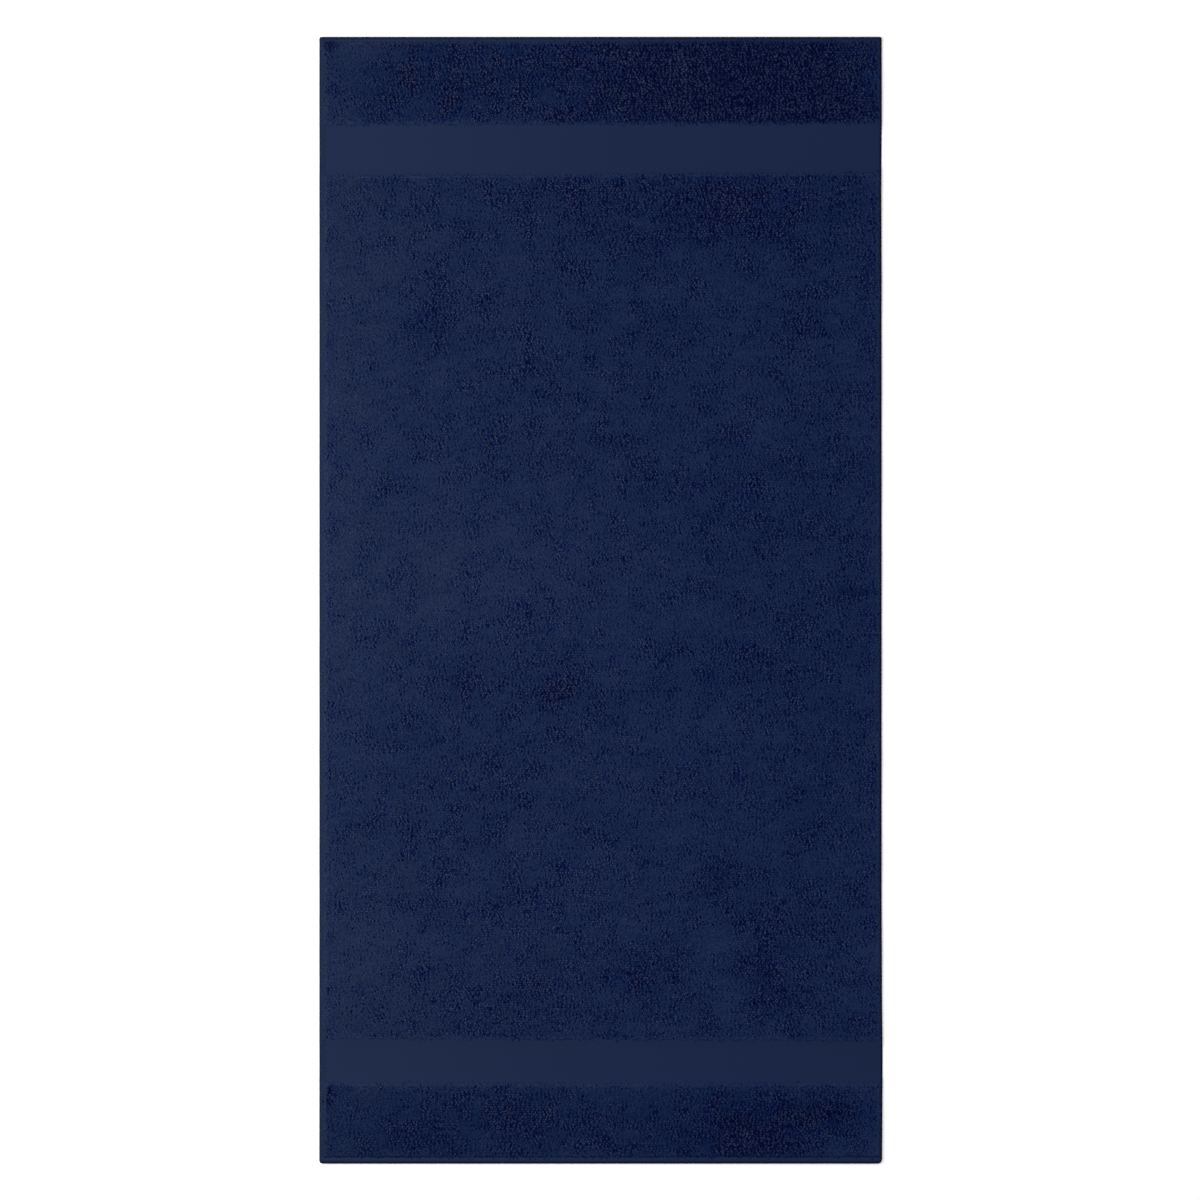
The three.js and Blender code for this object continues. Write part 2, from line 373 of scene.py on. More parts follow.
def places_through(size, weave):
    """Shares of the way through a section: close together at its edges, and even between them."""
    edge = [place for place in EDGE_PLACES[weave] if place < size / 2]
    steps = max(1, round((size - 2 * edge[-1]) / STEP))
    even = np.linspace(edge[-1], size - edge[-1], steps + 1)[1:-1]
    return np.array([*edge, *even, *(size - place for place in reversed(edge))]) / size


STRIPS = [
    ("selvedge", 0, LEFT_SELVEDGE),
    ("pile", LEFT_SELVEDGE, WIDTH - RIGHT_SELVEDGE),
    ("selvedge", WIDTH - RIGHT_SELVEDGE, WIDTH),
]
columns = [0.0]
for weave, start, end in STRIPS:
    columns.extend(start + share * (end - start) for share in places_through(end - start, weave)[1:])
rows = [(0, 0.0)]
for number, section in enumerate(SECTIONS):
    tall = section["upper"][1] - section["lower"][1]
    rows.extend((number, share) for share in places_through(tall, section["weave"])[1:])
print(f"The cloth's grid has {len(columns)} columns and {len(rows)} rows")

# %% The cloth, from a grid, its copy and a bridge
RIM_CUTS = 3


def number_grid(bm):
    """Keeps each vertex's column and row number in the mesh, where copies and bridges can find them."""
    column_layer = bm.verts.layers.int.new("column")
    row_layer = bm.verts.layers.int.new("row")
    for vert in bm.verts:
        vert[column_layer] = round((vert.co.x + 0.5) * (len(columns) - 1))
        vert[row_layer] = round((vert.co.y + 0.5) * (len(rows) - 1))
    return column_layer, row_layer


bm = bmesh.new()
bmesh.ops.create_grid(bm, x_segments=len(columns) - 1, y_segments=len(rows) - 1, size=0.5)
column_layer, row_layer = number_grid(bm)
copy = bmesh.ops.duplicate(bm, geom=bm.verts[:] + bm.edges[:] + bm.faces[:])["geom"]
bmesh.ops.reverse_faces(bm, faces=[part for part in copy if isinstance(part, bmesh.types.BMFace)])
copied_verts = [part for part in copy if isinstance(part, bmesh.types.BMVert)]
bmesh.ops.translate(bm, verts=copied_verts, vec=(0, 0, -1))
rims = [edge for edge in bm.edges if edge.is_boundary]
bridge = bmesh.ops.bridge_loops(bm, edges=rims)
rims = set(rims)
wall_edges = {edge for face in bridge["faces"] for edge in face.edges} - rims
bmesh.ops.subdivide_edges(bm, edges=list(wall_edges), cuts=RIM_CUTS, use_grid_fill=True)
print(f"The closed cloth has {len(bm.faces)} faces and {sum(e.is_boundary for e in bm.edges)} open edges")

# %% Where each column meets each row
RIM_ROUNDNESS = 0.36


def plan_point(column, row, inset):
    """Where a column and a row meet. The outermost ones stand in from the outline by inset."""
    number, share = row
    section = SECTIONS[number]
    nominal = section["lower"][1] + share * (section["upper"][1] - section["lower"][1])
    width = float(width_at(nominal))
    x = inset + column / WIDTH * (width - 2 * inset)
    radii = BOTTOM_CORNER_RADII if number == 0 else TOP_CORNER_RADII
    radius = radii[int(x > width / 2)] - inset
    from_side = min(max(min(x, width - x) - inset, 0), radius)
    corner = radius - np.sqrt(radius**2 - (radius - from_side) ** 2) + inset
    lower = corner if number == 0 else float(height_on(section["lower"], x / width))
    upper = float(height_on(section["upper"], x / width))
    if number == len(SECTIONS) - 1:
        upper -= corner
    return x, lower + share * (upper - lower)


def rim_inset(row):
    """How far the top and the underside stand in from the rim that bulges between them."""
    thick = HEM_THICKNESS if SECTIONS[row[0]]["weave"] == "hem" else GROUND_THICKNESS
    return RIM_ROUNDNESS * thick


plan = {}
for column_number, column in enumerate(columns):
    for row_number, row in enumerate(rows):
        inner_point = plan_point(column, row, rim_inset(row))
        plan[column_number, row_number] = (inner_point, plan_point(column, row, 0))
print(f"The plan of the cloth has {len(plan)} points")

# %% The cloth settles to its own shape
grid_place = [(vert[column_layer], vert[row_layer]) for vert in bm.verts]
inner = np.array([plan[key][0] for key in grid_place])
outer = np.array([plan[key][1] for key in grid_place])
share_up = np.array([vert.co.z + 1 for vert in bm.verts])
bulge = np.sqrt(np.clip(1 - (2 * share_up - 1) ** 2, 0, 1))
xy = inner + (outer - inner) * bulge[:, None]
bottom, top, pile_share = cloth_at(xy[:, 0], xy[:, 1])
z = bottom + (top - bottom) * share_up
for vert, (x, y), height in zip(bm.verts, xy, z):
    vert.co = (x + low.x, y + low.y, height)
bmesh.ops.recalc_face_normals(bm, faces=bm.faces[:])

cloth_mesh = bpy.data.meshes.new("towel_cloth")
bm.to_mesh(cloth_mesh)
bm.free()
cloth = bpy.data.objects.new("towel_cloth", cloth_mesh)
bpy.context.scene.collection.objects.link(cloth)
for polygon in cloth_mesh.polygons:
    polygon.use_smooth = True
print(f"The cloth reaches from {z.min() * 1000:.2f} to {z.max() * 1000:.2f} mm")

# %% [markdown]
# ## Values kept in the mesh
# Materials and Geometry Nodes can read numbers that are kept on a mesh's vertices, which are called
# attributes. The cloth keeps two of them here: how much pile there is, and how near the outer edge it is,
# because the edge, where the cloth turns away from the light, is given a thin dark line of painted shade.
# A texture could hold the same, but attributes need no unwrapping.

# %% The share of pile and the painted shade along the rim
# Where the rim's painted shade starts to thin out, over what distance, and how wide it is on each side
RIM_START = 0.0008
RIM_SHADE = 0.0026
RIM_SPREAD = {"left": 0.5, "right": 1.1, "bottom": 1.5, "top": 1.1}


def keep_values(mesh, name, values, kind="FLOAT", stored_as=np.float32):
    """Keeps one number for each vertex in the mesh, under a name that nodes can read."""
    attribute = mesh.attributes.new(name, kind, "POINT")
    attribute.data.foreach_set("value", values.astype(stored_as))


x, y = xy[:, 0], xy[:, 1]
from_edges = [
    x / RIM_SPREAD["left"],
    (width_at(y) - x) / RIM_SPREAD["right"],
    y / RIM_SPREAD["bottom"],
    (LENGTH - y) / RIM_SPREAD["top"],
]
from_edge = np.min(from_edges, axis=0)
keep_values(cloth_mesh, "pile", pile_share)
keep_values(cloth_mesh, "rim", 1 - smooth((from_edge - RIM_START) / RIM_SHADE))
print(f"{100 * np.mean(pile_share > 0):.0f}% of the cloth's vertices lie in the pile")

# %% [markdown]
# ## Soft random patches
# Cloth is never even. One small helper gives all of its unevenness: smooth random values in patches of a
# chosen size, always the same ones for the same seed. Blender has noise textures for that, but they live in
# the material, and here the same patches have to move the loops as well as tint them.

# %% Smooth random patches
NOISE_CELLS = 512
# The cloth starts a few cells in from the corner of the random ones
CELL_OFFSET = 7


def soft_patches(x, y, across, along, seed):
    """Smooth random values from -1 to 1, in patches of that size in metres."""
    cells = np.random.default_rng(seed).uniform(-1, 1, (NOISE_CELLS, NOISE_CELLS))
    u, v = x / across + CELL_OFFSET, y / along + CELL_OFFSET
    column, row = np.floor(u).astype(int), np.floor(v).astype(int)
    right, up = smooth(u - column), smooth(v - row)
    near = cells[row % NOISE_CELLS, column % NOISE_CELLS]
    beside = cells[row % NOISE_CELLS, (column + 1) % NOISE_CELLS]
    above = cells[(row + 1) % NOISE_CELLS, column % NOISE_CELLS]
    across_above = cells[(row + 1) % NOISE_CELLS, (column + 1) % NOISE_CELLS]
    lower = near + (beside - near) * right
    upper = above + (across_above - above) * right
    return lower + (upper - lower) * up


sample = soft_patches(x, y, 0.05, 0.05, 1)
print(f"Patches of 50 mm run from {sample.min():.2f} to {sample.max():.2f} on the cloth")

# %% [markdown]
# ## Where the pile is darker and lighter
# Terry looks darker where its loops stand up and lighter where they lie over. On this towel the broad
# patches can be picked out one by one: it is lightest down the left side, darkest in the right half of both
# end panels and just below the top band. They could be painted by hand, but as a list they can be moved and
# weighed one at a time. Finer streaks lie mostly across the towel, as it was folded that way, and those are
# left to chance.

# %% Broad patches of tone
# Middle from the left side and the bottom edge, half size across and along, how much lighter or darker
TONE_PATCHES = [
    (0.020, 0.800, 0.045, 0.900, 0.05),
    (0.150, 0.730, 0.190, 0.110, 0.06),
    (0.070, 1.040, 0.060, 0.200, 0.03),
    (0.070, 0.240, 0.080, 0.090, 0.06),
    (0.380, 0.330, 0.100, 0.070, 0.03),
    (0.500, 0.220, 0.035, 0.025, 0.06),
    (0.500, 0.540, 0.060, 0.030, 0.04),
    (0.500, 1.180, 0.210, 0.050, -0.10),
    (0.132, 1.035, 0.032, 0.024, -0.08),
    (0.430, 1.035, 0.060, 0.024, -0.06),
    (0.610, 1.040, 0.045, 0.024, -0.06),
    (0.500, 0.850, 0.080, 0.070, -0.04),
    (0.640, 0.620, 0.070, 0.480, -0.03),
    (0.510, 0.620, 0.065, 0.040, -0.08),
    (0.300, 0.590, 0.038, 0.028, -0.09),
    (0.175, 0.600, 0.030, 0.025, -0.08),
    (0.215, 0.460, 0.040, 0.025, -0.04),
    (0.612, 0.408, 0.028, 0.022, -0.08),
    (0.500, 0.333, 0.036, 0.028, -0.09),
    (0.556, 0.232, 0.032, 0.055, -0.085),
    (0.400, 0.240, 0.060, 0.040, -0.06),
    # Painted shade along the crease
    (0.675, 0.710, 0.030, 0.005, -0.15),
    (0.550, 1.345, 0.230, 0.080, -0.29),
    (0.300, 1.325, 0.030, 0.022, 0.04),
    (0.545, 0.045, 0.095, 0.050, -0.20),
    (0.640, 0.064, 0.045, 0.018, -0.12),
    (0.200, 0.045, 0.240, 0.050, -0.09),
    (0.140, 1.345, 0.120, 0.060, -0.075),
    (0.680, 1.350, 0.032, 0.045, 0.11),
    # Painted shade of the small fold at the top left corner, where the hem ends. It darkens the hem too.
    (0.012, 1.392, 0.010, 0.006, -0.40),
    (0.013, 0.086, 0.003, 0.014, -0.26),
    (0.110, 0.036, 0.035, 0.014, -0.04),
]


def broad_tone(x, y):
    return soft_spots(x, y, TONE_PATCHES)


print(f"{len(TONE_PATCHES)} broad patches, and the darkest tone they give is {broad_tone(x, y).min():.2f}")

# %% The pile's edges
EDGE_CALM = 0.004
# How much darker the last loops are along the lower edge of each stretch of pile, and how wide that line is
SHADOWS = {"bottom_end_panel": 0.34, "field": 0.10, "top_end_panel": 0.12}
SHADOW_WIDTH = 0.0032


def calm_edge(x, y):
    """1 along the edges of the pile, where its loops lie flatter and lighter, and 0 inside."""
    return 1 - smooth(depth_into_pile(x, y) / EDGE_CALM)


def lower_edge_shadow(x, y):
    across = x / width_at(y)
    shadow = np.zeros_like(x)
    for section in SECTIONS:
        if section["weave"] == "pile":
            above = np.abs(y - height_on(section["lower"], across))
            shadow = np.maximum(shadow, SHADOWS[section["name"]] * (1 - smooth(above / SHADOW_WIDTH)))
    return shadow


print(f"The darkest lower edge of the pile is {lower_edge_shadow(x, y).max():.2f} darker")

# %% The pile's resting tone
EVEN_TONE = 0.480
# How much lower the tone lies on the left, to go with the painted light that washes that side out
SIDE_TONE = 0.095
EDGE_TONE = 0.14
FINE_TONE = 0.080
# The share of the fine streaks that shows at the left side
LEFT_STREAKS = 0.55
STREAKS = [(0.45, 0.040, 0.014, 41), (0.55, 0.016, 0.008, 42), (0.40, 0.030, 0.030, 43)]


def layered_patches(x, y, layers):
    """Soft patches laid over each other, each given as its strength, its two sizes and its seed."""
    return sum(strength * soft_patches(x, y, *patch) for strength, *patch in layers)


def resting_tone(x, y):
    """The tone of the pile before each loop adds its own."""
    even = EVEN_TONE - SIDE_TONE * (1 - x / WIDTH)
    even = even + EDGE_TONE * calm_edge(x, y) - lower_edge_shadow(x, y)
    streaked = LEFT_STREAKS + (1 - LEFT_STREAKS) * x / WIDTH
    return even + broad_tone(x, y) + FINE_TONE * streaked * layered_patches(x, y, STREAKS)


resting = resting_tone(x, y)
print(f"The pile's resting tone runs from {resting.min():.2f} to {resting.max():.2f}")

# %% How tousled the loops are
LEFT_TOUSLE = 0.63
# How much more tousled, from which line on, and over what distance
TOWARDS_RIGHT = [(0.37, 0.0, 0.28), (-0.03, 0.42, 0.20)]
TOWARDS_BOTTOM = [(0.12, 0.45, 0.20), (-0.45, 0.14, 0.04)]
TOUSLED_PATCHES = [(0.20, 0.050, 0.045, 11), (0.85, 0.013, 0.012, 12)]
DARK_TOUSLE = 4.3
LEAST_TOUSLED = 0.30
MOST_TOUSLED = 2.4
EDGE_NEATNESS = 0.65


def tousle(x, y):
    """How much the loops stand every which way, from 0.3 to 2.4, and less along the pile's edges."""
    rough = LEFT_TOUSLE
    for amount, start, distance in TOWARDS_RIGHT:
        rough = rough + amount * smooth((x - start) / distance)
    for amount, start, distance in TOWARDS_BOTTOM:
        rough = rough + amount * smooth((start - y) / distance)
    rough = rough + layered_patches(x, y, TOUSLED_PATCHES)
    broad = broad_tone(x, y)
    rough = rough - DARK_TOUSLE * np.minimum(broad, 0) - np.maximum(broad, 0)
    return np.clip(rough, LEAST_TOUSLED, MOST_TOUSLED) * (1 - EDGE_NEATNESS * calm_edge(x, y))


tousled = tousle(x, y)
print(f"The cloth's tousle runs from {tousled.min():.2f} to {tousled.max():.2f}")

# %% [markdown]
# ## The tone of the ground
# Between the loops the ground weave shows. It lies deep in their shade, so it is given painted shade and
# is darker than the loops, most of all where they are tousled. The plain parts differ a little too: a hem
# is given painted light, as it is folded double and stands nearer to the light, and the left selvedge has a
# darker cord woven along the pile. A texture painted over the whole cloth could show them, but three more
# attributes do it with a few lines.

# %% The ground between the loops, the hems and the selvedge
# Painted shade on the ground between the loops, more where they are tousled
GAP_PAINTED_SHADE = 0.175
# Painted light on the hems, which are folded double and stand nearer to the light
HEM_PAINTED_LIGHT = 0.12
HEM_SHADE = 0.6
SELVEDGE_SHADE = 0.06
SELVEDGE_SOFTNESS = 0.002
CORD_SHADE = 0.10
CORD_INSET = 0.0062
CORD_HALF_WIDTH = 0.0018

underside_share = 1 - smooth(share_up)
# Painted shade between the loops, left off the underside
ground_tone = resting - GAP_PAINTED_SHADE * tousled * (1 - underside_share)
in_selvedge = 1 - smooth((x - LEFT_SELVEDGE) / SELVEDGE_SOFTNESS)
on_cord = np.exp(-(((x - CORD_INSET) / CORD_HALF_WIDTH) ** 2))
# The plain parts' own tone, with painted light on the hems
plain_tone_and_light = 1 + hem_share(x, y) * (HEM_PAINTED_LIGHT + HEM_SHADE * np.minimum(broad_tone(x, y), 0))
plain_tone_and_light = plain_tone_and_light - SELVEDGE_SHADE * in_selvedge - CORD_SHADE * on_cord
keep_values(cloth_mesh, "tone", np.clip(ground_tone, 0, 1))
keep_values(cloth_mesh, "underside", underside_share)
keep_values(cloth_mesh, "plain_tone_and_light", plain_tone_and_light)
print(f"The ground's tone runs from {ground_tone.min():.2f} to {ground_tone.max():.2f}")

# %% [markdown]
# ## One loop
# A loop seen from a step away is a small grain of yarn lying over to one side. Hair curves or bent tubes
# would show its yarn, but there are well over a hundred thousand loops, so each one can have only a few
# faces. It is made as a ball of six faces, drawn out along Y, with its tips bent down and to one side. Four
# shapes keep the loops from looking stamped. Each corner keeps how near the crown it is, from 0 to 1, so
# that the material can paint light on the tops and shade on the sides.

# %% Four loop shapes
LOOP_LENGTH = 0.0047
LOOP_WIDTH = 0.0028
LOOP_HEIGHT = 0.0017
LOOP_DROP = 0.00015
LOOP_BENDS = (-0.35, -0.1, 0.15, 0.4)
TIP_CROWN = 0.85
BALL_RADIUS = 0.5

loop_shapes = bpy.data.collections.new("loop_shapes")
for number, bend in enumerate(LOOP_BENDS):
    bm = bmesh.new()
    bmesh.ops.create_uvsphere(bm, u_segments=3, v_segments=2, radius=BALL_RADIUS)
    ridge_up = Matrix.Rotation(radians(90), 3, "X") @ Matrix.Rotation(radians(90), 3, "Z")
    bmesh.ops.rotate(bm, cent=(0, 0, 0), matrix=ridge_up, verts=bm.verts[:])
    tips = [vert for vert in bm.verts if abs(vert.co.y) > BALL_RADIUS / 2]
    bmesh.ops.scale(bm, vec=(LOOP_WIDTH, LOOP_LENGTH, LOOP_HEIGHT), verts=bm.verts[:])
    bmesh.ops.translate(bm, vec=(bend * LOOP_WIDTH, 0, -LOOP_DROP), verts=tips)
    crown = bm.verts.layers.float.new("crown")
    for vert in bm.verts:
        vert[crown] = TIP_CROWN if vert in tips else float(vert.co.z > 0)
    bmesh.ops.recalc_face_normals(bm, faces=bm.faces[:])
    mesh = bpy.data.meshes.new(f"loop_shape_{number}")
    bm.to_mesh(mesh)
    bm.free()
    for polygon in mesh.polygons:
        polygon.use_smooth = True
    shape = bpy.data.objects.new(f"loop_shape_{number}", mesh)
    loop_shapes.objects.link(shape)
    print(f"Loop shape {number} has {len(mesh.polygons)} faces")

# %% [markdown]
# ## Where the loops stand
# Loops stand in rows and columns, as the loom made them, and washing has pushed each one about. Points
# scattered at random would leave clumps and bald spots. So each stretch of pile starts as a grid with a
# point for every loop, every second row half a column further on, and each point is moved a little. The
# outermost ones stray a little over the line, which keeps the pile's edge from looking cut.

# %% Loose points in a grid
def grid_of_points(name, across_count, along_count):
    """A mesh of loose points in a square grid, and how far across and along it each one is, from 0 to 1."""
    bm = bmesh.new()
    bmesh.ops.create_grid(bm, x_segments=across_count - 1, y_segments=along_count - 1, size=0.5)
    bmesh.ops.delete(bm, geom=bm.faces[:], context="FACES_ONLY")
    bmesh.ops.delete(bm, geom=bm.edges[:], context="EDGES_FACES")
    mesh = bpy.data.meshes.new(name)
    bm.to_mesh(mesh)
    bm.free()
    place = np.array([vert.co for vert in mesh.vertices]) + 0.5
    print(f"{name}: {across_count} by {along_count} points")
    return mesh, place[:, 0], place[:, 1]


def keep_vectors(mesh, name, *parts):
    """Keeps three numbers for each vertex in the mesh."""
    attribute = mesh.attributes.new(name, "FLOAT_VECTOR", "POINT")
    attribute.data.foreach_set("vector", np.stack(parts, 1).astype(np.float32).ravel())


def move_points(mesh, x, y, z):
    """Moves the points to their places. x and y are from the towel's left side and bottom edge."""
    place = np.stack([x + low.x, y + low.y, z], 1)
    mesh.vertices.foreach_set("co", place.astype(np.float32).ravel())


# %% Points for a stretch of pile
LOOP_ACROSS = 0.0022
LOOP_ALONG = 0.0030
ROW_SHIFT = 0.25
JITTER = 0.30
EDGE_STRAY = 0.003
RIGHT_STRAY = 0.5
OUTER_COLUMNS = 2
OUTER_ROWS = 1.5


def points_for_loops(name, section, share_from, share_to, rng):
    """A mesh with a point for each loop in a stretch of a section, and where on the towel each one is."""
    tall = section["upper"][1] - section["lower"][1]
    across_count = round((WIDTH - LEFT_SELVEDGE - RIGHT_SELVEDGE) / LOOP_ACROSS)
    along_count = round((share_to - share_from) * tall / LOOP_ALONG)
    mesh, grid_across, grid_along = grid_of_points(name, across_count, along_count)
    column = np.round(grid_across * (across_count - 1))
    row = np.round(grid_along * (along_count - 1))
    shift = ROW_SHIFT * np.where(row % 2 == 0, 1, -1)
    column = column + 0.5 + shift + rng.uniform(-JITTER, JITTER, len(column))
    row = row + 0.5 + rng.uniform(-JITTER, JITTER, len(row))
    share = share_from + (share_to - share_from) * row / along_count
    across = np.clip(column / across_count, 0, 1)
    y_low = height_on(section["lower"], across)
    y = y_low + share * (height_on(section["upper"], across) - y_low)
    x = LEFT_SELVEDGE + across * (width_at(y) - LEFT_SELVEDGE - RIGHT_SELVEDGE)

    stray = EDGE_STRAY * rng.uniform(0, 1, len(x)) ** 2
    at_left = x < LEFT_SELVEDGE + OUTER_COLUMNS * LOOP_ACROSS
    at_right = width_at(y) - RIGHT_SELVEDGE - x < OUTER_COLUMNS * LOOP_ACROSS
    at_bottom = share * tall < OUTER_ROWS * LOOP_ALONG
    at_top = (1 - share) * tall < OUTER_ROWS * LOOP_ALONG
    x = x - stray * at_left + RIGHT_STRAY * stray * at_right
    y = y - stray * at_bottom + stray * at_top
    return mesh, x, y


# %% [markdown]
# ## The strokes of the pile
# Washing lays the loops over in short strokes a few millimetres apart. They run along the towel, wander,
# and lean to one side or the other. A noise texture gives round blobs, not strokes. So many waves are added
# up, all with nearly the same spacing and each with its own slant. Where their sum is high, the pile stands
# proud and is given painted light. Where it is low, the pile parts and is given painted shade. The sum's
# own slant says how the strokes lean there.

# %% Strokes from a sum of waves
STROKE_SPACING = 0.0049
SPACING_SPREAD = 0.14
SLANT_SPREAD = 0.58
MOST_LEAN = 0.8
WAVES = 60
WAVE_SEED = 61


def strokes_at(x, y):
    """How far the pile stands proud, about 1 either way, and how the strokes lean, in radians."""
    rng = np.random.default_rng(WAVE_SEED)
    total = np.zeros(len(x), complex)
    across = np.zeros(len(x), complex)
    along = np.zeros(len(x), complex)
    for _ in range(WAVES):
        per_metre = rng.normal(1, SPACING_SPREAD) / STROKE_SPACING
        slant = rng.normal(0, SLANT_SPREAD) / STROKE_SPACING
        wave = np.exp(2j * np.pi * (per_metre * x + slant * y + rng.uniform(0, 1)))
        total += wave
        across += per_metre * wave
        along += slant * wave
    lean = np.arctan2((np.conj(total) * along).real, (np.conj(total) * across).real)
    return total.real / np.sqrt(WAVES / 2), np.clip(lean, -MOST_LEAN, MOST_LEAN)


_, sample_lean = strokes_at(x, y)
print(f"Half the strokes lean by more than {np.degrees(np.median(np.abs(sample_lean))):.0f} degrees")

# %% [markdown]
# ## How each loop lies
# Each loop follows the strokes, with a tilt, a roll and a size of its own, and more of all that where the
# pile is tousled. A few loops have been pulled in and lie deeper. Nothing passes through the surface that
# the towel lies on, so a loop tilts and rolls only as far as the room under it allows. A hair system would
# comb them all alike. Here the way each loop lies is worked out from its place and a few random numbers,
# and kept on its point as attributes, for the nodes that set the loops in the next step.

# %% Room to tilt and to roll
LOWEST_LOOP = 0.0002
HIGHEST_TIP = 0.0052
# The share of the room under a loop that its tilt may use, the rest being for its roll
TILT_SHARE = 0.6


def within_the_room(tilt, roll, z, reach, half_width):
    """The tilt and the roll, cut down so that no tip goes through the floor or stands out too high."""
    room = z - LOWEST_LOOP - LOOP_DROP
    most_tilt = TILT_SHARE * room / reach
    most_roll = (1 - TILT_SHARE) * room / half_width
    highest_tilt = (HIGHEST_TIP - z) / reach
    tilt = np.clip(np.clip(tilt, -most_tilt, most_tilt), -highest_tilt, highest_tilt)
    return tilt, np.clip(roll, -most_roll, most_roll)


steepest, _ = within_the_room(radians(90), 0, 0.002, LOOP_LENGTH / 2, LOOP_WIDTH / 2)
print(f"A loop that lies 2 mm up may tilt by {np.degrees(steepest):.0f} degrees")

# %% A planted stretch of pile
# The waves are levelled off above this height, which takes LEVELLED_OFF from their average
LEVEL_FROM = 0.2
LEVELLED_OFF = 0.307
PROUD_SHARE = 0.95
# The nap is the way that the pile has been brushed: how steep, in patches of what size, and their seed
NAP = 0.30
NAP_PATCHES = (0.045, 0.022, 21)
TURN_SPREAD = 0.12
TILT_SPREAD = 0.14
ROLL_SPREAD = 0.12
SIZE_SPREAD = 0.06
SIZE_LIMITS = (0.7, 1.3)
STRETCH_LIMITS = (0.85, 1.2)
NEAT_STRETCH = 0.90
TOUSLED_STRETCH = 0.08
LOOP_SINK = 0.0004
LOWEST_MIDDLE = 0.0010
PROUD_HEIGHT = 0.00012
HEIGHT_SPREAD = 0.0001
PULLED_SHARE = 0.08
PULLED_DEPTH = 0.0003
# Painted light on loops that stand proud, and painted shade on those pulled deeper
PROUD_PAINTED_LIGHT = 0.35
PULLED_PAINTED_SHADE = 0.30
TONE_SPREAD = 0.05


def planting(name, section, share_from, share_to, seed):
    """A mesh of single points, one for each loop in a stretch of a section, with how each loop lies."""
    rng = np.random.default_rng(seed)
    mesh, x, y = points_for_loops(name, section, share_from, share_to, rng)
    count = len(x)
    _, top, pile_here = cloth_at(x, y)
    tousled = tousle(x, y)
    height, lean = strokes_at(x, y)
    proud = PROUD_SHARE * (np.minimum(height, LEVEL_FROM) + LEVELLED_OFF)
    turn = lean + TURN_SPREAD * tousled * rng.normal(0, 1, count)
    nap = soft_patches(x, y, *NAP_PATCHES)
    tilt = NAP * nap + TILT_SPREAD * tousled * rng.normal(0, 1, count)
    roll = ROLL_SPREAD * tousled * rng.normal(0, 1, count)
    size = np.clip(1 + SIZE_SPREAD * rng.normal(0, 1, count) * tousled, *SIZE_LIMITS)
    stretch = rng.uniform(*STRETCH_LIMITS, count) * (NEAT_STRETCH + TOUSLED_STRETCH * tousled)
    pulled = rng.uniform(0, 1, count) < PULLED_SHARE
    lift = HEIGHT_SPREAD * rng.normal(0, 1, count) + PROUD_HEIGHT * proud - PULLED_DEPTH * pulled
    z = top + LOOP_HEIGHT / 4 - LOOP_SINK + lift * tousled * pile_here
    z = np.maximum(z, LOWEST_MIDDLE)
    reach = LOOP_LENGTH / 2 * size * stretch
    tilt, roll = within_the_room(tilt, roll, z, reach, LOOP_WIDTH / 2 * size)
    # The loop's own random tone, plus painted light when proud and painted shade when pulled in
    own_and_painted_tone = TONE_SPREAD * rng.normal(0, 1, count) + PROUD_PAINTED_LIGHT * proud - PULLED_PAINTED_SHADE * pulled
    tone = resting_tone(x, y) + own_and_painted_tone * tousled

    move_points(mesh, x, y, z)
    keep_vectors(mesh, "turn", tilt, roll, turn)
    keep_vectors(mesh, "size", size, size * stretch, size)
    keep_values(mesh, "shape", rng.integers(0, len(LOOP_BENDS), count), "INT", np.int32)
    keep_values(mesh, "rough", tousled)
    keep_values(mesh, "tone", np.clip(tone, 0, 1))
    return mesh


# %% [markdown]
# ## From points to loops
# Geometry Nodes puts one of the four shapes on each point, turned and sized by that point's attributes, and
# Realize Instances makes the copies into one plain mesh. Copying them one by one in Python would be far
# slower. The tone rides along to the finished mesh, where the material reads it.

# %% The node tree that sets shapes on points
def kept_on_points(tree, name, kind):
    node = add_node(tree, "GeometryNodeInputNamedAttribute", {"Name": name}, data_type=kind)
    return node.outputs["Attribute"]


set_shapes = bpy.data.node_groups.new("set_shapes", "GeometryNodeTree")
set_shapes.interface.new_socket("Geometry", in_out="INPUT", socket_type="NodeSocketGeometry")
set_shapes.interface.new_socket("Geometry", in_out="OUTPUT", socket_type="NodeSocketGeometry")
group_in = add_node(set_shapes, "NodeGroupInput")
shape_source = add_node(
    set_shapes,
    "GeometryNodeCollectionInfo",
    {"Separate Children": True, "Reset Children": True},
)
copies = add_node(
    set_shapes,
    "GeometryNodeInstanceOnPoints",
    {
        "Points": group_in.outputs[0],
        "Instance": shape_source.outputs[0],
        "Pick Instance": True,
        "Instance Index": kept_on_points(set_shapes, "shape", "INT"),
        "Rotation": kept_on_points(set_shapes, "turn", "FLOAT_VECTOR"),
        "Scale": kept_on_points(set_shapes, "size", "FLOAT_VECTOR"),
    },
)
realized = add_node(set_shapes, "GeometryNodeRealizeInstances", {"Geometry": copies.outputs[0]})
add_node(set_shapes, "NodeGroupOutput", {0: realized.outputs[0]})
print(f"The tree that sets shapes on points has {len(set_shapes.nodes)} nodes")


